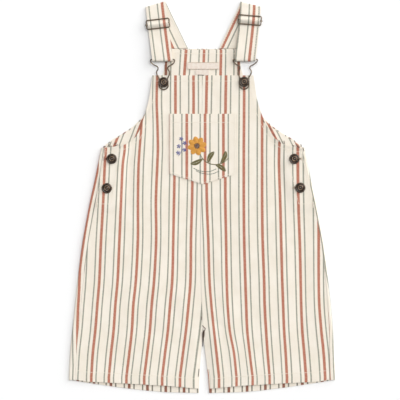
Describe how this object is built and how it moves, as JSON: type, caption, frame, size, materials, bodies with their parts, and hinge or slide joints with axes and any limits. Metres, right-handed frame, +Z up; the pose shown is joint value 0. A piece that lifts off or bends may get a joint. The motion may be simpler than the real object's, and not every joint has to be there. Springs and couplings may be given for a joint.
{
  "type": "kids bib overalls",
  "caption": "Short-legged striped canvas bib overalls for a small child, laid flat, with chest pocket, buckled straps and buttoned sides.",
  "frame": {"origin": "under the middle of the whole garment, on the surface that it lies on", "axes": "+Z up from the surface, +Y from the hem to the straps, +X to the right seen from above with the front side up"},
  "size_m": [0.3728, 0.5482, 0.0094],
  "materials": {
    "canvas": "cream cotton canvas with woven terracotta stripes and grey-green pinstripes, matt, slightly slubby",
    "antique_metal": "dark antiqued wire, brown-black, lighter where it is rubbed",
    "button_metal": "dark antiqued brass, domed, satin, lighter on the rim",
    "label_tape": "smooth woven tape, pale pinkish beige, bare"
  },
  "bodies": {
    "root": {"back_left": "canvas", "back_right": "canvas", "front_left": "canvas", "front_right": "canvas", "back_facing": "canvas", "armhole_facing_left": "canvas", "armhole_facing_right": "canvas", "side_placket_left": "canvas", "side_placket_right": "canvas", "chest_pocket": "canvas", "strap_left": "canvas", "strap_right": "canvas", "slider_left": "antique_metal", "slider_right": "antique_metal", "buckle_left": "antique_metal", "buckle_right": "antique_metal", "bib_button_left": "button_metal", "bib_button_right": "button_metal", "side_button_left_upper": "button_metal", "side_button_left_lower": "button_metal", "side_button_right_upper": "button_metal", "side_button_right_lower": "button_metal", "label_main": "label_tape", "label_size": "label_tape"}
  },
  "joints": []
}
